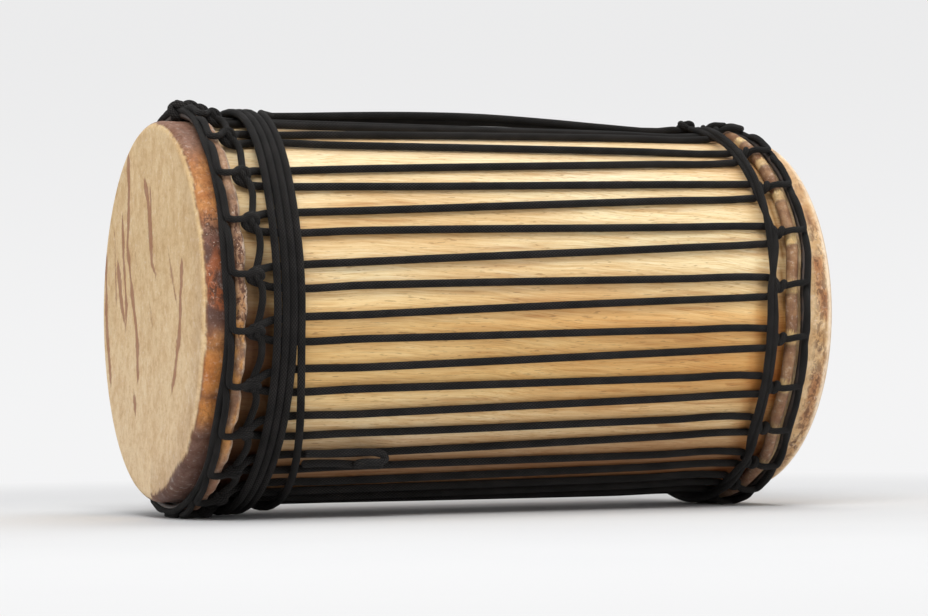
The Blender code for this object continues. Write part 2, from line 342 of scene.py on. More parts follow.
class Shade:
    """Builds one material's nodes. Numbers, colours and sockets can all be given as inputs."""

    def __init__(self, name, roughness, specular=0.5, sheen=0.0):
        self.material = bpy.data.materials.new(name)
        self.material.use_nodes = True
        self.tree = self.material.node_tree
        self.surface = self.tree.nodes["Principled BSDF"]
        self.surface.inputs["Roughness"].default_value = roughness
        self.surface.inputs["Specular IOR Level"].default_value = specular
        self.surface.inputs["Sheen Weight"].default_value = sheen
        self.place = self.tree.nodes.new("ShaderNodeTexCoord").outputs["Object"]

    def feed(self, socket, value):
        if isinstance(value, bpy.types.NodeSocket):
            self.tree.links.new(value, socket)
        elif isinstance(value, (tuple, list)) and len(value) == 3 and socket.type == "RGBA":
            socket.default_value = (*value, 1.0)
        else:
            socket.default_value = value

    def node(self, kind, given, out=0, **settings):
        """The output of a new node with the given inputs."""
        node = self.tree.nodes.new("ShaderNode" + kind)
        for name, value in settings.items():
            setattr(node, name, value)
        for key, value in given.items():
            self.feed(node.inputs[key], value)
        return node.outputs[out]

    def stretched(self, x, y, z):
        return self.node("VectorMath", {0: self.place, 1: (x, y, z)}, operation="MULTIPLY")

    def cloud(self, scale, vector=None, detail=3.0, rough=0.55, distortion=0.0):
        given = {"Scale": scale, "Detail": detail, "Roughness": rough, "Distortion": distortion}
        return self.node("TexNoise", {"Vector": vector or self.place, **given})

    def span(self, value, low, high, to_low=0.0, to_high=1.0):
        given = {"Value": value, "From Min": low, "From Max": high, "To Min": to_low, "To Max": to_high}
        return self.node("MapRange", given, interpolation_type="SMOOTHSTEP")

    def sums(self, operation, first, second=0.0):
        return self.node("Math", {0: first, 1: second}, operation=operation)

    def times(self, first, second):
        return self.sums("MULTIPLY", first, second)

    def plus(self, first, second):
        return self.sums("ADD", first, second)

    def mix(self, share, first, second, mode="MIX"):
        given = {0: share, 6: first, 7: second}
        return self.node("Mix", given, out=2, data_type="RGBA", blend_type=mode)

    def layers(self, colour, *layers):
        """The colour with others laid over it in turn, each where its value rises from low to high."""
        for value, low, high, most, tint, mode in layers:
            colour = self.mix(self.span(value, low, high, 0.0, most), colour, tint, mode)
        return colour

    def grain(self, values, scales):
        """A place stretched by a scale along each axis."""
        return self.node("CombineXYZ", {i: self.times(*pair) for i, pair in enumerate(zip(values, scales))})

    def ramp(self, value, stops):
        node = self.tree.nodes.new("ShaderNodeValToRGB")
        points = node.color_ramp.elements
        while len(points) < len(stops):
            points.new(0.5)
        for point, (position, colour) in zip(points, stops):
            point.position = position
            point.color = (*colour, 1.0)
        self.feed(node.inputs[0], value)
        return node.outputs[0]

    def painted(self, layer_name):
        return self.node("VertexColor", {}, layer_name=layer_name)

    def parts(self, vector):
        node = self.tree.nodes.new("ShaderNodeSeparateXYZ")
        self.feed(node.inputs[0], vector)
        return node.outputs

    def bump(self, height, distance, strength=1.0, under=None):
        given = {"Height": height, "Distance": distance, "Strength": strength}
        return self.node("Bump", given if under is None else {**given, "Normal": under})

    def finish(self, colour, normal=None, roughness=None):
        self.feed(self.surface.inputs["Base Color"], colour)
        if normal is not None:
            self.feed(self.surface.inputs["Normal"], normal)
        if roughness is not None:
            self.feed(self.surface.inputs["Roughness"], roughness)
        return self.material


def rope_material(name, dark, light):
    """Matte black braid: crossing strands with a painted highlight along the top of each and painted shade
    between them, with a little fuzz.
    """
    shade = Shade(name, 0.88, specular=0.16, sheen=0.03)
    around, along, _ = shade.parts(shade.node("UVMap", {}, uv_map="rope"))
    carriers = 9
    around = shade.times(around, carriers * math.pi)
    along = shade.times(along, carriers * 0.66 * math.pi)
    one = shade.sums("SINE", shade.plus(around, along))
    other = shade.sums("SINE", shade.sums("SUBTRACT", around, along))
    braid = shade.sums("ABSOLUTE", shade.times(one, other))
    fuzz = shade.cloud(1500, detail=2)
    patches = shade.cloud(55, detail=4)
    relief = shade.plus(braid, shade.times(fuzz, 0.7))
    # painted highlight on the raised braid and painted shade in its hollows, weaker in patches
    tone = shade.times(shade.span(relief, 0.2, 1.3), shade.span(patches, 0.35, 0.66, 0.5, 1.0))
    colour = shade.mix(tone, dark, light)
    return shade.finish(colour, shade.bump(relief, 0.7 * MM, 0.9))


def wood_material():
    """Pale oiled hardwood: long grain at a slight slant with short dark pores, and painted shade by height:
    amber through the lower half, redder and darker low down, a little darker over the top.
    """
    shade = Shade("shell_wood_grain", 0.5, specular=0.3)
    x, y, z = shade.parts(shade.place)
    wander = shade.cloud(4.5, detail=2)
    slant = shade.plus(z, shade.plus(shade.times(x, 0.035), shade.times(wander, 0.035)))
    along_grain = shade.grain((x, y, slant), (8, 190, 250))
    lines = shade.cloud(1.5, along_grain, detail=6, rough=0.66, distortion=0.3)
    fine = shade.cloud(6.0, along_grain, detail=4, rough=0.75)
    hairs = shade.cloud(1.0, shade.grain((x, y, slant), (22, 600, 800)), detail=3, rough=0.7)
    broad = shade.cloud(8, shade.stretched(0.35, 1.2, 1.2), detail=3)
    flecks = shade.cloud(1.0, shade.stretched(110, 900, 900), detail=2)
    colour = shade.ramp(
        shade.plus(shade.times(lines, 0.45), shade.times(fine, 0.55)),
        [
            (0.34, (0.66, 0.43, 0.19)),
            (0.44, (0.83, 0.64, 0.35)),
            (0.53, (0.91, 0.77, 0.47)),
            (0.64, (0.96, 0.87, 0.61)),
        ],
    )
    colour = shade.layers(
        colour,
        (broad, 0.45, 0.72, 0.55, (0.74, 0.47, 0.22), "MULTIPLY"),
        (broad, 0.50, 0.30, 0.30, (1.0, 0.92, 0.66), "SCREEN"),
    )
    # painted shade: an amber band through the lower half of the shell
    amber_low_shade = shade.times(shade.span(z, 0.195, 0.13), shade.span(z, 0.055, 0.105))
    colour = shade.mix(amber_low_shade, colour, (0.97, 0.76, 0.50), "MULTIPLY")
    colour = shade.layers(
        colour,
        # painted shade by height: redder and darker low down, a little darker over the top
        (z, 0.095, 0.03, 1.0, (0.92, 0.76, 0.68), "MULTIPLY"),
        (z, 0.205, 0.27, 1.0, (0.93, 0.86, 0.82), "MULTIPLY"),
        (hairs, 0.52, 0.64, 0.34, (0.56, 0.33, 0.13), "MIX"),
        (flecks, 0.60, 0.72, 0.6, (0.36, 0.18, 0.06), "MIX"),
    )
    # multiply in the stains and painted shade stored on the shell's vertices
    colour = shade.mix(1.0, colour, shade.painted("stain_and_shade"), "MULTIPLY")
    relief = shade.bump(fine, 0.35 * MM, 0.5, shade.bump(lines, 0.8 * MM, 0.4))
    return shade.finish(colour, relief, shade.span(lines, 0.3, 0.7, 0.6, 0.42))


def skin_material(name, fibre_scale):
    """Dry rawhide: the painted tints, broken up by mottling, fibres, pores and scratches."""
    shade = Shade(name, 0.66, specular=0.28, sheen=0.03)
    mottle = shade.cloud(70, detail=6, rough=0.7)
    blotch = shade.cloud(240, detail=4, rough=0.7)
    fibres = shade.cloud(fibre_scale, shade.stretched(1.0, 1.0, 0.16), detail=4, rough=0.65)
    specks = shade.cloud(900, detail=3)
    cracked, flecked, streaked = shade.parts(shade.painted("wear"))
    splits = shade.cloud(170, shade.stretched(1.6, 1.0, 1.0), detail=6, rough=0.75, distortion=0.6)
    flakes = shade.cloud(520, detail=5, rough=0.7)
    colour = shade.layers(
        shade.painted("tint"),
        (mottle, 0.42, 0.66, 0.5, (0.74, 0.60, 0.47), "MULTIPLY"),
        (blotch, 0.50, 0.68, 0.42, (0.68, 0.54, 0.42), "MULTIPLY"),
        (blotch, 0.46, 0.30, 0.22, (0.9, 0.86, 0.76), "SCREEN"),
        (fibres, 0.48, 0.70, 0.13, (0.80, 0.66, 0.52), "MULTIPLY"),
        (specks, 0.56, 0.70, 0.35, (0.48, 0.33, 0.23), "MULTIPLY"),
    )
    colour = shade.mix(shade.times(shade.span(splits, 0.49, 0.55), cracked), colour, (0.10, 0.042, 0.024))
    ragged = shade.cloud(420, shade.stretched(1.0, 1.0, 0.35), detail=4, rough=0.7)
    torn = shade.plus(streaked, shade.times(shade.sums("SUBTRACT", ragged, 0.5), 1.1))
    inked = shade.times(shade.span(torn, 0.30, 0.62), shade.span(streaked, 0.05, 0.30))
    colour = shade.mix(shade.times(inked, 0.85), colour, (0.32, 0.125, 0.055))
    colour = shade.mix(shade.times(shade.span(flakes, 0.60, 0.67), flecked), colour, (0.66, 0.56, 0.46))
    relief = shade.bump(blotch, 0.6 * MM, 0.45, shade.bump(specks, 0.25 * MM, 0.4))
    relief = shade.bump(mottle, 1.2 * MM, 0.4, relief)
    return shade.finish(colour, relief, shade.span(mottle, 0.3, 0.7, 0.56, 0.76))


def iron_material():
    shade = Shade("dull_iron_rod", 0.6)
    shade.surface.inputs["Metallic"].default_value = 0.85
    rust = shade.cloud(160, detail=5, rough=0.6)
    stops = [(0.35, (0.055, 0.05, 0.048)), (0.6, (0.13, 0.10, 0.085)), (0.72, (0.20, 0.09, 0.04))]
    colour = shade.ramp(rust, stops)
    return shade.finish(colour, shade.bump(rust, 0.4 * MM, 0.5), shade.span(rust, 0.35, 0.7, 0.45, 0.8))


# ---- camera, then the cord

CAMERA_LENS = 100.86
CAMERA_YAW = 22.329
CAMERA_PITCH = 2.356
CAMERA_ROLL = -0.677
CAMERA_PLACE = (-0.7589, -1.8516, 0.0729)
camera_data = bpy.data.cameras.new("view")
camera_data.lens = CAMERA_LENS
camera_data.sensor_width = 36
camera = bpy.data.objects.new("view", camera_data)
bpy.context.scene.collection.objects.link(camera)
camera.location = CAMERA_PLACE
camera.rotation_mode = "QUATERNION"
camera.rotation_quaternion = (
    Matrix.Rotation(math.radians(-CAMERA_YAW), 3, "Z")
    @ Matrix.Rotation(math.radians(90 + CAMERA_PITCH), 3, "X")
    @ Matrix.Rotation(math.radians(CAMERA_ROLL), 3, "Z")
).to_quaternion()
bpy.context.scene.camera = camera

black_rope = rope_material("black_braid", (0.0026, 0.0024, 0.0023), (0.034, 0.0305, 0.0285))
# a darker copy of the braid: painted shade on the wound turns
wound_rope_shaded = rope_material("black_braid_wound_shaded", (0.0012, 0.0011, 0.0011), (0.032, 0.0282, 0.0264))
iron = iron_material()
loose_rope = rope_material("black_braid_tail", (0.0040, 0.0037, 0.0036), (0.040, 0.0365, 0.0345))


# The tail, as distance in, radius and angle: out along a leg, folded back on itself twice, and home.
TAIL_STATIONS = (
    (86.0, 147.2, 135.4), (98.0, 147.2, 135.6), (110.0, 147.2, 135.3), (120.0, 147.3, 135.0),
    (130.0, 147.6, 135.0), (138.0, 147.8, 135.2), (143.0, 148.8, 135.8), (144.6, 150.8, 136.6),
    (142.0, 152.3, 137.0), (136.0, 152.5, 137.1), (130.0, 152.4, 137.1), (126.0, 151.6, 137.7),
    (124.8, 150.2, 138.6), (127.0, 149.6, 139.3), (132.0, 150.2, 139.2), (137.6, 150.2, 139.3),
    (142.4, 149.4, 139.8), (143.8, 147.8, 140.5), (141.0, 147.2, 140.9), (134.0, 147.2, 140.7),
    (124.0, 147.2, 140.2), (110.0, 147.2, 139.6), (98.0, 147.2, 139.4), (86.0, 147.2, 139.6),
)
tail_points = near_points(TAIL_STATIONS)
tail = rope_object("tail_loop_rope", [(tail_points, ROPE, False)], loose_rope)
link_object(tail, "tail_loop", slot="black_rope")


# ---- where the ropes run


def link_angle(loop):
    return FIRST_LOOP + loop * LOOP_STEP


def foot_shift(end, loop):
    """How far round the drum a link's foot and its turn of the lacing stray from the link, in degrees."""
    if end == "near":
        return (-3.0, -9.0, -7.0, -1.9, -1.2)[loop] if 0 <= loop < 5 else 0.0
    angle = link_angle(loop)
    if loop < 4:
        return (-2.5, -9.0, -3.5, -1.5)[loop]
    return 2.3 * window(angle, 80, 116, 8) + 1.3 * window(angle, 116, 150, 8)


# One turn of the lacing round a link's foot: distance in, radius and angle from the link.
NEAR_TURN = (
    (54.0, ON_SHELL, -LEG_ANGLE), (47.5, 141.9, -2.7), (42.0, 144.4, -2.0),
    (38.0, 147.8, -1.5), (34.4, 149.6, -1.1), (31.4, 149.0, -0.5),
    (30.4, 147.0, 0.4), (31.8, 145.0, 1.2), (35.6, 143.2, 1.7),
    (40.6, 142.0, 2.2), (46.6, ON_SHELL, 2.8), (52.0, ON_SHELL, LEG_ANGLE),
)
FAR_TURN = (
    (50.0, ON_SHELL, -LEG_ANGLE), (43.5, 141.6, -2.9), (40.0, 143.9, -2.1),
    (38.6, 146.2, -0.7), (38.6, 146.2, 0.7), (40.0, 143.9, 2.1),
    (43.5, 141.6, 2.9), (50.0, ON_SHELL, LEG_ANGLE),
)
LEG_POINTS = 5


def turn_angle(end, loop):
    return link_angle(loop) + foot_shift(end, loop % LOOPS)


def leg_between(near_angle, far_angle, to_far):
    """Points of one lacing leg between its turns, a little out of true as hand-laced rope is."""
    points = []
    sway = dice.uniform(-0.3, 0.3)
    second = dice.uniform(-0.15, 0.15)
    for step in range(1, LEG_POINTS + 1):
        share = step / (LEG_POINTS + 1)
        inward = 53 + (DRUM_LENGTH - 103 - FAR_INSET) * share
        off = sway * math.sin(math.pi * share) + second * math.sin(math.tau * share)
        degrees = near_angle + (far_angle - near_angle) * share + off
        points.append(drum_point("near", inward, ON_SHELL, degrees))
    return points if to_far else points[::-1]


def lacing_route():
    """One rope from the start knot round every link's foot, end to end and back, to the start knot."""
    start = turn_angle("near", -1)
    route = [drum_point("near", 40.3, ON_SHELL, start + LEG_ANGLE)]
    for loop in range(-1, LOOPS - 1):
        near, far = turn_angle("near", loop), turn_angle("far", loop)
        if loop >= 0:
            for s, r, turn in NEAR_TURN:
                back = 0.55 * foot_shift("near", loop) * (1 - ease(s, 38, 50))
                route.append(drum_point("near", s, r, near + turn - back))
        route += leg_between(near + LEG_ANGLE, far - LEG_ANGLE, True)
        route += [hoop_point("far", s, r, far + turn) for s, r, turn in FAR_TURN]
        route += leg_between(turn_angle("near", loop + 1) - LEG_ANGLE, far + LEG_ANGLE, False)
    route.append(drum_point("near", 40.3, ON_SHELL, start + 360 - LEG_ANGLE))
    return route


def wrap_inward(degrees):
    """How far in from the near head the wound rope lies, as in the CAD."""
    pitch = ROPE + 0.15
    turn = int(degrees // 360)
    within = degrees - 360 * turn
    lean = 1 - ease(within, 0, 70) + ease(within, 290, 360)
    inward = 50.6 + pitch * (3 - turn - ease(within, 320, 360)) + 8 * lean
    if turn == 0:
        inward += 6 * (1 - ease(within, 0, 25))
        inward += 17 * ease(within, 95, 165) * (1 - ease(within, 172, 260))
    return inward


def wrap_route():
    """Four turns of the doubled-up spare rope, pressed into the lacing underneath."""
    route = near_points(((96.0, 147.0, -0.6), (88.0, 147.4, 2.2)))
    for degrees in range(9, 1390, 10):
        bulge = 0.5 * wobble(degrees * 0.02, 3.1, 0.0)
        drift = 0.5 * wobble(degrees * 0.013, 8.4, 0.0)
        sunk = 2.6 * window(degrees, 140, 262, 20)
        route.append(drum_point("near", wrap_inward(degrees) + drift, WRAP_RADIUS + bulge - sunk, degrees))
    return route


def spare_route():
    """From the near line, under the wraps, along the top, round the far tie and back to the wraps."""
    far = DRUM_LENGTH - FAR_INSET - 42.7
    out = (
        (41.0, 143.6, -1.6), (48.0, ON_SHELL, -2.0), (66.0, ON_SHELL, -2.2), (88.0, 141.6, -2.3),
        (112.0, 144.4, -2.1), (150.0, 146.8, -1.6), (230.0, 147.6, -1.0), (320.0, 147.0, -0.4),
        (372.0, 144.0, 0.0), (far - 17, 142.4, 0.2), (far - 7, 143.2, -0.4),
    )
    home = (
        (far - 4, 145.8, 0.4), (far - 8, 146.4, 1.6), (far - 24, 145.0, 1.6), (372.0, 146.4, 1.4),
        (320.0, 149.2, 1.2), (260.0, 151.4, 1.0), (200.0, 150.8, 0.9), (150.0, 149.0, 0.6),
        (118.0, 147.6, 0.2), (96.0, 147.0, -0.6),
    )
    return near_points(out + home)


def near_line_route():
    """One strand, drawn in toward the head by each link and high where a leg passes under it."""
    stations = (
        (-3.0, 144.4, 37.6), (0.0, 146.2, 35.2), (2.8, 146.4, 39.2),
        (6.0, 145.2, 40.4), (9.4, 144.4, 39.4),
    )
    route = []
    for loop in range(LOOPS):
        shift = dice.uniform(-0.5, 0.5)
        foot = foot_shift("near", loop)
        for turn, radius, inward in stations:
            route.append(drum_point("near", inward + shift, radius, link_angle(loop) + turn + 0.45 * foot))
    return route


def far_line_route(phase):
    """One of the far line's two strands. They twist a little round each other."""
    route = []
    for step in range(6 * LOOPS):
        angle = step * LOOP_STEP / 6
        twist = math.radians(angle * 4 + 70 * math.sin(math.radians(angle * 5)) + phase)
        shift = dice.uniform(-0.2, 0.2) + 2.0 * math.sin(twist)
        route.append(hoop_point("far", FAR_LINE_AT + shift, FAR_LINE_RADIUS + 1.7 * math.cos(twist), angle))
    return route


def crown_lean(end, degrees):
    """How far the near crown ring leans away from the head over the top, in mm."""
    if end == "far":
        return 0.0
    angle = signed(degrees)
    return 5.0 * (1 - ease(angle, 14, 58)) * ease(angle, -120, -60)


# The last part of each link, down to the line: distance in, radius and angle from the link.
NEAR_LINK_END = (
    (28.4, 150.2, -0.1), (31.8, 150.4, -0.4), (35.2, 151.2, -0.7),
    (38.6, 149.6, -0.3), (39.6, 146.4, 0.5), (37.2, 143.6, 1.0),
)
FAR_LINK_END = (
    (28.8, 149.4, 0.1), (31.6, 146.0, 0.1), (33.4, 142.4, 0.0),
    (36.0, 141.0, 0.0), (40.8, 141.0, 0.0),
)


def crown_strands(end):
    """The roped crown ring: an outer strand all round, and an inner one that turns off into each link."""
    strands = []
    outer = []
    first, apart = (14.4, 2.6) if end == "near" else (13.0, 1.8)
    for step in range(4 * LOOPS):
        angle = step * LOOP_STEP / 4
        twist = math.radians(angle * 8)
        inward = first + crown_lean(end, angle) + dice.uniform(-0.2, 0.2) + 0.9 * math.sin(twist)
        radius = 146.6 + 0.5 * math.cos(twist) + 0.2 * crown_lean(end, angle)
        outer.append(hoop_point(end, inward, radius, angle))
    strands.append((outer, CROWN_ROPE, True))
    step_in = first + apart
    for loop in range(LOOPS):
        foot = foot_shift(end, loop)
        turned, aside = (0.0, 0.45 * foot) if end == "near" else (0.6 * foot, 0.4 * foot)
        angle = link_angle(loop) + turned
        route = [
            (step_in - 1.8, 146.4, -LOOP_STEP + 0.2),
            (step_in - 0.4, 148.0, -LOOP_STEP + 2.0),
            (step_in, 150.0, -LOOP_STEP + 5.0),
            (step_in, 150.6, -3.6),
            (step_in + 0.1, 150.6, -1.7),
            (step_in + 0.9, 150.8, -0.5),
            (max(20.8, step_in + 2.7), 150.9, -0.05),
            (25.4, 150.8, 0.0),
            *(NEAR_LINK_END if end == "near" else FAR_LINK_END),
        ]
        points = []
        for s, r, turn in route:
            lean = crown_lean(end, angle + turn) * (1 - ease(s, 20, 28))
            points.append(hoop_point(end, s + lean, r + 0.2 * lean, angle + turn + aside * ease(s, 20, 36)))
        strands.append((points, LINK_ROPE, False))
        # the hitch where the link meets the line
        hitch = []
        hitch_at, hitch_radius, big = (34.0, 147.6, 2.6) if end == "near" else (33.6, 145.6, 3.0)
        for step in range(8):
            turn = math.tau * step / 8
            across, out = big * math.sin(turn), big * math.cos(turn)
            round_drum = angle + aside + math.degrees(across / SKIN_RIM)
            hitch.append(hoop_point(end, hitch_at + 0.6 * across, hitch_radius + out, round_drum))
        strands.append((hitch, HITCH_ROPE, True))
    return strands


# ---- the shell


LEG_ENDS = []
for loop_index in range(LOOPS):
    near_turn, far_turn = turn_angle("near", loop_index), turn_angle("far", loop_index)
    LEG_ENDS.append((near_turn + LEG_ANGLE, far_turn - LEG_ANGLE))
    LEG_ENDS.append((turn_angle("near", (loop_index + 1) % LOOPS) - LEG_ANGLE, far_turn + LEG_ANGLE))


def leg_offset(x, degrees):
    """Distance in mm round the drum from a point on the shell to the nearest lacing leg, and which leg."""
    share = min(max(((x - NEAR_HEAD_X) / MM - 45) / (DRUM_LENGTH - 103), 0.0), 1.0)
    nearest, which = 99.0, 0
    for index, (near, far) in enumerate(LEG_ENDS):
        off = signed(degrees - near - signed(far - near) * share)
        if abs(off) < abs(nearest):
            nearest, which = off, index
    return math.radians(nearest) * SHELL_RADIUS, which


# How much red, green and blue each kind of mark on the shell takes away, stains and painted shade alike.
STAIN_AND_SHADE_DEPTHS = (
    (0.28, 0.28, 0.86, 0.20, 0.55, 0.55),
    (0.44, 0.42, 0.91, 0.45, 0.62, 0.67),
    (0.58, 0.52, 0.94, 0.68, 0.62, 0.79),
)


def shell_stain_and_shade(place):
    """Stains and painted shade on the wood, as a multiplier: grime with painted shade beside the ropes, old
    rope marks, a stain with painted shade near the near head, a stain near the far head, painted shade
    underneath and a painted shadow line beside the far fold.
    """
    degrees = angle_of(place)
    from_near = (place.x - NEAR_HEAD_X) / MM
    from_far = (FAR_HEAD_X - place.x) / MM
    patch = patchy(place, 45)
    fine = patchy(place, 160)
    off, leg = leg_offset(place.x, degrees)
    along = wobble(place.x * 14, leg * 3.7, 1.0) * 0.5 + 0.5
    # painted shade of each lacing leg on the wood beside it, mixed with grime
    grime_and_rope_shade = bell(off, 5.0) * (0.25 + 0.75 * patch)
    line_at = 6.5 + 2.5 * wobble(place.x * 6, leg * 1.9, 5.0)
    old_line = bell(abs(off) - line_at, 1.1) * ease(along, 0.42, 0.7) * (1 if leg % 2 else 0.5)
    # near the near head, deeper and wider on the lower half: a brown stain together with painted shade from
    # the knots and wraps
    reach = 8 * patch + 9 * ease(abs(degrees), 80, 115)
    near_edge = 1 - ease(from_near, 38 + reach, 52 + reach)
    low = ease(abs(degrees), 55, 100)
    edge = from_far - FAR_INSET - hoop_sway("far", degrees)
    far_edge = window(edge, 20, 48 + 10 * fine, 7) * (0.3 + 0.7 * ease(degrees, 70, 100))
    # a painted shadow line where the far fold meets the wood
    dark_line = bell(edge - 29.0 - 1.5 * fine, 2.2)
    # painted shade over the underside of the shell
    under = ease(abs(degrees), 126, 148)
    marks = (grime_and_rope_shade, old_line, near_edge * (0.12 + 0.88 * low), far_edge * (0.35 + 0.65 * patch), under, dark_line)
    return [math.prod(1 - depth * mark for depth, mark in zip(depths, marks)) for depths in STAIN_AND_SHADE_DEPTHS]


def shell_radius_at(x, degrees):
    """The hand-carved outside: faint hollows, never outside the true cylinder."""
    place = Vector((x * 9, math.cos(math.radians(degrees)) * 2.4, math.sin(math.radians(degrees)) * 2.4))
    return SHELL_RADIUS - 0.30 - 0.28 * noise.noise(place)


def build_shell():
    lengthways = 150
    edge = 2.4
    rounding = 6.0
    across, out = edge + rounding, SHELL_RADIUS - rounding
    profile = [(edge + 5, SHELL_RADIUS - SHELL_WALL), (edge + 1.0, SHELL_RADIUS - 12), (edge, out - 2)]
    for step in range(7):
        turn = math.radians(180 - 90 * step / 6)
        profile.append((across + rounding * math.cos(turn), out + rounding * math.sin(turn)))
    near = [(NEAR_HEAD_X + s * MM, r) for s, r in profile]
    far = [(FAR_HEAD_X - s * MM, r) for s, r in profile][::-1]
    first, last = near[-1][0], far[0][0]
    middle = [(first + (last - first) * step / lengthways, None) for step in range(1, lengthways)]
    rows = []
    for x, radius in near + middle + far:
        rows.append([axis_point(x, radius or shell_radius_at(x, degrees), degrees) for degrees in TURNS])
    obj = turned_object("carved_shell", rows, wood_material(), wraps=True)
    paint(obj, "stain_and_shade", shell_stain_and_shade)
    link_object(obj, "shell", slot="shell_wood")


# ---- the heads

# Stains on the near face: a run of (across, up) points in mm from the middle, a half width and a strength.
FACE_STREAKS = (
    (((57, 122), (57, 81), (62, 52), (51, 22), (40, -7), (34, -26), (34, -52)), 4.6, 0.85),
    (((12, 98), (3, 81), (-3, 63), (-7, 35), (-17, 26)), 5.2, 0.95),
    (((-4, 92), (-4, 74), (-5, 55)), 3.2, 0.7),
    (((76, 77), (74, 44), (65, 7), (68, -12)), 3.6, 0.85),
    (((91, 43), (82, 15), (71, -8)), 4.6, 0.9),
    (((100, 70), (97, 30), (95, 5)), 3.0, 0.55),
    (((126, 54), (125, -7), (113, -53)), 5.2, 0.8),
    (((-48, 48), (-59, 22), (-74, 0)), 3.2, 0.6),
    (((-85, 34), (-82, 7), (-76, -26), (-65, -48), (-57, -60)), 4.4, 0.85),
    (((45, -58), (42, -76)), 4.4, 0.85),
    (((3, 12), (-8, -13)), 2.8, 0.5),
    (((40, 60), (36, 30)), 2.4, 0.4),
)


def streak_at(across, up):
    """How strongly the streaks stain a point of the near face, from 0 to 1."""
    most = 0.0
    for run, half_width, strength in FACE_STREAKS:
        top, bottom = run[0][1], run[-1][1]
        if not bottom - 8 < up < top + 8:
            continue
        heights = [point[1] for point in run][::-1]
        centre = float(np.interp(up, heights, [point[0] for point in run][::-1]))
        centre += 1.6 * wobble(up * 0.06, half_width, 4.0)
        ends = min(1.0, (up - bottom + 8) / 14, (top + 8 - up) / 14)
        width = half_width * (1.05 + 0.9 * wobble(up * 0.06, centre * 0.05, 9.0)) * (0.3 + 0.7 * ends)
        most = max(most, strength * ends * bell(across - centre, max(width, 0.6)))
    return most


def blend(share, first, second):
    return [a + (b - a) * share for a, b in zip(first, second)]


def near_tint(place):
    """The near head: pale face, orange and purple collar, a dark line between them, and the fold."""
    inward = (place.x - NEAR_HEAD_X) / MM
    across, up = place.y / MM, (place.z - AXIS_Z) / MM
    radius = math.hypot(across, up)
    degrees = angle_of(place)
    patch = patchy(place, 26)
    rough = patchy(place, 105)
    wavy = 4.0 * wobble(degrees * 0.09, 1.7, 0) + 3.2 * wobble(degrees * 0.5, 5.7, 0)
    face = blend(patch, (0.67, 0.462, 0.225), (0.80, 0.590, 0.325))
    face = blend(ease(-up, -60, 120) * 0.6, face, (0.88, 0.68, 0.435))
    # painted shade: the face darker in a band inside its rim, from the front round the underside
    edge = ease(radius, 100, 132) * (1 - ease(radius, 131, 137)) * ease(degrees, 10, 100)
    face = blend(edge * (0.3 + 0.5 * rough) * 0.6, face, (0.40, 0.23, 0.115))
    side = blend(patch, (0.19, 0.092, 0.060), (0.37, 0.20, 0.13))
    orange = blend(rough, (0.42, 0.135, 0.030), (0.68, 0.31, 0.085))
    purple = blend(rough, (0.062, 0.030, 0.028), (0.155, 0.085, 0.070))
    side = blend(window(degrees, 40, 66, 6) * (0.6 + 0.4 * patch), side, orange)
    side = blend(window(degrees, 68, 98, 6) * 0.85, side, purple)
    spots = ease(noise.noise(place * 52 + Vector((2, 5, 1))), 0.02, 0.22)
    side = blend(window(degrees, 74, 98, 5) * spots * 0.8, side, (0.40, 0.115, 0.035))
    side = blend(window(degrees, 99, 127, 4) * ease(patch + 0.3 * rough, 0.35, 0.75), side, orange)
    side = blend(window(degrees, 131, 178, 8) * 0.7, side, purple)
    dark_line = bell((degrees * 0.5 + 2 * rough) % 7.0 - 3.5, 0.8) * window(degrees, 96, 150, 8)
    side = blend(dark_line * 0.6, side, (0.10, 0.045, 0.03))
    past = inward + 0.7 * (min(radius, 139) - 139) - 0.5 * wavy + 5.5 * ease(degrees, 122, 160) - 1.6
    border = ease(past, -0.6, 0.6)
    colour = blend(border, face, side)
    line = bell(past, 0.8) * 0.8
    colour = blend(line, colour, (0.17, 0.06, 0.028))
    fold = ease(inward, 18.5, 20.5)
    hem = blend(rough, (0.17, 0.085, 0.050), (0.46, 0.28, 0.165))
    hem = blend(window(degrees, 92, 135, 8) * ease(rough, 0.35, 0.65), hem, (0.62, 0.30, 0.085))
    # painted shade: the fold darker toward the underside
    hem = blend(ease(degrees, 118, 150) * 0.5, hem, (0.36, 0.18, 0.115))
    ragged = 26.4 + 1.5 * wobble(degrees * 0.5, 2.2, 0)
    cut = ease(inward, ragged, ragged + 1.0)
    hem = blend(cut * 0.6 * (0.4 + 0.6 * rough), hem, (0.66, 0.57, 0.47))
    return blend(fold, colour, hem)


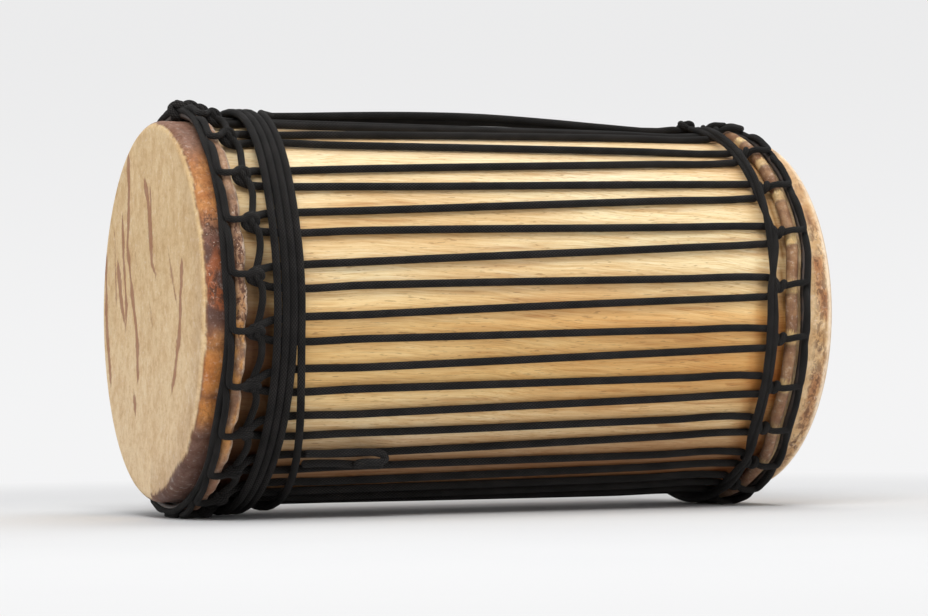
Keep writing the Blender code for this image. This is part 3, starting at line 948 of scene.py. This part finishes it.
def far_tint(place):
    """The far head: plain face, pale edge, a broken brown band and a two-toned fold over its ring."""
    degrees = angle_of(place)
    inward = (FAR_HEAD_X - place.x) / MM
    hoops = inward - FAR_INSET - hoop_sway("far", degrees)
    patch = patchy(place, 30)
    rough = patchy(place, 120)
    face = blend(patch, (0.60, 0.42, 0.25), (0.68, 0.51, 0.33))
    side = blend(rough, (0.54, 0.32, 0.135), (0.84, 0.64, 0.39))
    middle = 10.5 + 3.0 * wobble(degrees * 0.06, 3.0, 0)
    band = window(inward, middle - 3.5, middle + 3.5 + 3 * rough, 1.8)
    band *= ease(noise.noise(place * 42 + Vector((3, 1, 7))), -0.2, 0.15)
    band *= 0.35 + 0.65 * window(degrees, 62, 130, 14)
    side = blend(band * (0.5 + 0.5 * rough), side, (0.40, 0.155, 0.05))
    cracks = bell(inward - middle - 2 * rough, 0.8) * ease(rough, 0.35, 0.6)
    side = blend(cracks * 0.7, side, (0.16, 0.06, 0.03))
    side = blend((1 - ease(inward, 3.5 + 2 * rough, 7.5)) * 0.8, side, (0.95, 0.79, 0.60))
    colour = blend(ease(inward, 1.5, 4.0), face, side)
    tone = ((signed(degrees) - FIRST_LOOP) / LOOP_STEP) % 1.0
    hem = blend(ease(tone, 0.24, 0.32), (0.74, 0.53, 0.24), (0.225, 0.112, 0.056))
    hem = blend(ease(rough, 0.3, 0.7) * 0.5, hem, (0.46, 0.28, 0.145))
    hem = blend(bell(tone - 0.27, 0.035) * 0.8, hem, (0.15, 0.065, 0.04))
    # painted shade: the fold darker toward the underside
    hem = blend(ease(degrees, 100, 150) * 0.5, hem, (0.30, 0.18, 0.12))
    return blend(ease(hoops, 17.8, 19.8), colour, hem)


def skin_wear(end, place):
    """Where the hide is split, where pale flakes stand up and where it is streaked, each from 0 to 1."""
    degrees = angle_of(place)
    rough = patchy(place, 60)
    if end == "near":
        inward = (place.x - NEAR_HEAD_X) / MM
        across, up = place.y / MM, (place.z - AXIS_Z) / MM
        streak = streak_at(across, up) * (1 - ease(inward, 0.5, 1.5))
        side = ease(inward, 2.0, 4.5)
        cracks = side * (0.35 + 0.65 * window(degrees, 60, 100, 10))
        flakes = side * (0.06 + 0.85 * window(degrees, 62, 88, 8)) + 0.7 * ease(inward, 25.5, 27.5)
        return cracks * ease(rough, 0.15, 0.5), min(1.0, flakes), streak
    inward = (FAR_HEAD_X - place.x) / MM
    hoops = inward - FAR_INSET - hoop_sway("far", degrees)
    fold = ease(hoops, 18, 20)
    broken = ease(noise.noise(place * 24 + Vector((3, 1, 7))), -0.35, 0.1)
    cracks = window(inward, 6, 17, 3) * broken + 0.6 * fold
    return cracks * (1 - 0.3 * fold) * (0.4 + 0.6 * rough), 0.25 * fold + 0.10, 0.0


def build_skin(end):
    """A head of rawhide: the flat face, the rounded edge, the collar and the fold round its iron ring."""
    outer, thickness = 7.6, 1.6
    inset = FAR_INSET if end == "far" else 0.0
    rows = []

    def plain(inward, radius, degrees):
        return inward, radius

    def dented(inward, radius, degrees):
        across, up = radius * math.sin(math.radians(degrees)), radius * math.cos(math.radians(degrees))
        dent = wobble(across * 0.018, up * 0.018, 2.0 if end == "near" else 7.0)
        return inward + 0.16 + 0.16 * dent * ease(radius, 0, 30), radius

    def puckered(inward, radius, degrees):
        turn = math.radians(degrees)
        lump = 0.35 * wobble(math.sin(turn) * 9, math.cos(turn) * 9, inward * 0.16)
        tight = bell(from_link(degrees), 2.6) * ease(inward, 3, 12)
        return inward, radius - 0.45 * tight + lump * ease(inward, 1, 8)

    def fold_inside(slant, degrees):
        return FOLD_INSIDE

    def fold_outside(slant, degrees):
        apart, turn = from_link(degrees), math.radians(degrees)
        puff = (1.5 if end == "near" else 0.5) * ease(apart, 1.2, 4.6) - 0.15
        lump = wobble(math.sin(turn) * 16, math.cos(turn) * 16, slant * 0.02 + (4 if end == "far" else 0))
        full = math.sin(math.radians(min(max(slant + 60, 0), 180))) ** 0.5
        return FOLD_INSIDE + thickness + (puff + 0.45 * lump * ease(apart, 1.0, 4.0)) * full

    def row(inward, radius, swell=plain):
        rows.append([drum_point(end, *swell(inward, radius, degrees), degrees) for degrees in TURNS])

    def fold_row(slant, reach_of):
        across, out = math.cos(math.radians(slant)), math.sin(math.radians(slant))
        points = []
        for degrees in TURNS:
            reach = reach_of(slant, degrees)
            points.append(hoop_point(end, FLESH_AT + reach * across, FLESH_RADIUS + reach * out, degrees))
        rows.append(points)

    for step in range(77):
        row(0.0, 132.0 * (step / 76), dented)
    for step in range(1, 9):
        turn = math.radians(180 - 90 * step / 8)
        row(outer + outer * math.cos(turn), SKIN_OUTSIDE - outer + outer * math.sin(turn), puckered)
    for inward in (8.6, 9.8, 11.0, 12.4, 14.0, 15.4, 16.8, 18.0):
        row(outer + (inward - outer) * (1 + inset / 12), SKIN_OUTSIDE, puckered)
    # under the iron ring and round it, to the lip by the crown ring, then back over the outside
    lip, foot = 140, -88
    for step in range(11):
        fold_row(foot + (lip - foot) * step / 10, fold_inside)
    for step in range(23):
        fold_row(lip - (lip - foot) * step / 22, fold_outside)
    for inward in (18.0 + inset, 12.0 + inset):
        row(inward, SKIN_OUTSIDE - thickness)
    for step in range(5):
        turn = math.radians(90 + 90 * step / 4)
        reach = outer - thickness
        row(outer + reach * math.cos(turn), SKIN_OUTSIDE - outer + reach * math.sin(turn))
    row(thickness, 60.0)
    row(thickness, 0.0)
    painted = near_tint if end == "near" else far_tint
    obj = turned_object(end + "_head", rows, skin_material(end + "_rawhide", 260), wraps=False)
    paint(obj, "tint", painted)
    paint(obj, "wear", lambda place: skin_wear(end, place))
    link_object(obj, end + "_skin", slot="rawhide")


# ---- ropes and knots


def knot_path(centre, size, frame_axes, lobes=3, rounds=2, points=60):
    """A torus knot squeezed into the size, along the three axes given."""
    path = []
    for index in range(points):
        t = math.tau * index / points
        ring = 2 + math.cos(lobes * t)
        local = (ring * math.cos(rounds * t) / 3, ring * math.sin(rounds * t) / 3, math.sin(lobes * t))
        place = Vector(centre)
        for value, extent, axis in zip(local, size, frame_axes):
            place += axis * (value * extent * MM / 2)
        path.append(tuple(place))
    return path


def radial(degrees):
    turn = math.radians(degrees)
    return Vector((0, -math.sin(turn), math.cos(turn)))


def add_rope(name, node, strands, material=black_rope):
    link_object(rope_object(name, strands, material), node, slot="black_rope")


def build_ropes():
    add_rope("lacing", "lacing_rope", [(lacing_route(), ROPE, False)])
    add_rope("wound_rope_shaded", "girth_wraps", [(wrap_route(), ROPE, False)], wound_rope_shaded)
    add_rope("top_run", "spare_run", [(spare_route(), ROPE, False)])
    for end in ("near", "far"):
        add_rope(end + "_crown_and_links", end + "_cradle_rope", crown_strands(end))
    add_rope("near_line", "near_cradle_line", [(near_line_route(), LINE_ROPE, True)])
    pair = [(far_line_route(phase), LINK_ROPE, True) for phase in (20, 200)]
    add_rope("far_line_pair", "far_cradle_line", pair)


def build_knots():
    forward = Vector((1, 0, 0))

    def knot(name, node, centre, size, degrees, diameter, lobes=3, rounds=2):
        """A knot on the drum, its size along the drum, round it and outward."""
        outward = radial(degrees)
        frame_axes = (forward, forward.cross(outward), outward)
        core = [extent * 0.42 for extent in size]
        strands = [(knot_path(centre, size, frame_axes, lobes, rounds), diameter, True)]
        strands.append((knot_path(centre, core, frame_axes, 2, 1, 12), diameter + 1.5, True))
        add_rope(name, node, strands)

    at = drum_point("near", 24.2, 147.6, 4.0)
    knot("crown_knot", "near_crown_knot", at, (19, 18, 10.5), 4.0, 5.8, 4, 3)
    start = turn_angle("near", -1)
    at = drum_point("near", 39.0, 148.0, start + 3)
    knot("start_knot", "near_start_knot", at, (10, 14, 6.0), start, 5.4)
    at = hoop_point("far", 44.5, 149.2, 1.0)
    knot("far_tie", "far_tie_knot", at, (11, 10, 5.0), 1.0, 5.4)


def build_rings():
    """The iron hoops, which follow their ropes round each end."""
    for end in ("near", "far"):
        crown_at = 16.0 if end == "near" else 14.4
        for kind, inward, radius in (("flesh", FLESH_AT, FLESH_RADIUS), ("crown", crown_at, 144.3)):
            rows = []
            for step in range(10):
                turn = math.tau * step / 10
                across, out = ROD_RADIUS * math.cos(turn), ROD_RADIUS * math.sin(turn)
                row = []
                for degrees in range(0, 360, 2):
                    lean = crown_lean(end, degrees) if kind == "crown" else 0.0
                    row.append(hoop_point(end, inward + lean + across, radius + out, degrees))
                rows.append(row)
            rod = turned_object(f"{end}_{kind}_rod", rows, iron, wraps=True)
            link_object(rod, f"{end}_{kind}_ring", slot="hoop_iron")


# ---- studio


def stage_part(name, profile, start, stop, paper):
    """Part of the round stage: a profile of (radius, height) turned about the middle, in degrees."""
    steps, count = round((stop - start) / 5), len(profile)
    turns = np.radians(np.linspace(start, stop, steps + 1))
    vertices = [(r * math.cos(turn), r * math.sin(turn), z) for turn in turns for r, z in profile]
    corners = [a for a in range(len(vertices) - count) if (a + 1) % count]
    mesh = bpy.data.meshes.new(name)
    mesh.from_pydata(vertices, [], [(a, a + 1, a + count + 1, a + count) for a in corners])
    part = smooth_object(mesh, paper)
    bpy.context.scene.collection.objects.link(part)
    return part


def build_studio():
    """A pale round stage with a wall that glows softly, a big key above and to the left, and a fill."""
    shade = Shade("studio_paper", 0.95, specular=0.0)
    x, y, height = shade.parts(shade.place)
    squares = shade.plus(shade.times(x, x), shade.times(y, y))
    away = shade.span(shade.sums("SQRT", squares), 0.45, 1.25)
    floor = shade.ramp(shade.cloud(3, detail=2), [(0.3, (0.675, 0.675, 0.68)), (0.7, (0.695, 0.695, 0.695))])
    glow = shade.mix(shade.span(height, 0.0, 1.0), (0.905, 0.905, 0.91), (0.835, 0.835, 0.84))
    shade.feed(shade.surface.inputs["Emission Color"], shade.mix(away, (0.0, 0.0, 0.0), glow))
    shade.surface.inputs["Emission Strength"].default_value = 1.0
    paper = shade.finish(shade.mix(away, floor, (0.0, 0.0, 0.0)))
    reach, bend, top = 3.2, 0.8, 5.0
    curve = [math.radians(9 * step) for step in range(11)]
    cove = [(reach + bend * math.sin(turn), bend - bend * math.cos(turn)) for turn in curve]
    wall = cove + [(reach + bend, top)]
    rings = [0.0001] + [reach * step / 8 for step in range(1, 9)] + [reach + 0.1]
    stage_part("stage_floor", [(radius, 0.0) for radius in rings], 0, 360, paper)
    stage_part("stage_back", wall, -8, 188, paper)
    front = stage_part("stage_front", wall, 188, 352, paper)
    front.visible_diffuse = front.visible_glossy = front.visible_shadow = False

    world = bpy.data.worlds.new("studio")
    world.use_nodes = True
    background = world.node_tree.nodes["Background"]
    background.inputs["Color"].default_value = (0.96, 0.98, 1.0, 1.0)
    background.inputs["Strength"].default_value = 0.34
    bpy.context.scene.world = world

    def area(name, place, target, size, watts):
        data = bpy.data.lights.new(name, "AREA")
        data.shape = "RECTANGLE"
        data.size, data.size_y = size
        data.energy = watts
        light = bpy.data.objects.new(name, data)
        light.location = place
        aim = Vector(target) - Vector(place)
        light.visible_camera = False
        light.rotation_mode = "QUATERNION"
        light.rotation_quaternion = aim.to_track_quat("-Z", "Y")
        bpy.context.scene.collection.objects.link(light)

    area("key", (-0.9, -1.6, 2.2), (0, 0, 0.12), (1.6, 1.2), 47.5)
    area("top", (0.6, 0.1, 2.6), (0.05, 0.1, 0.1), (2.0, 1.4), 26)
    area("fill", (0.9, -2.6, 0.4), (0.1, 0, 0.10), (2.2, 0.8), 21)
    bpy.context.scene.view_settings.view_transform = "Standard"


# ---- the build

build_shell()
for side in ("near", "far"):
    build_skin(side)
build_ropes()
build_knots()
build_rings()
build_studio()
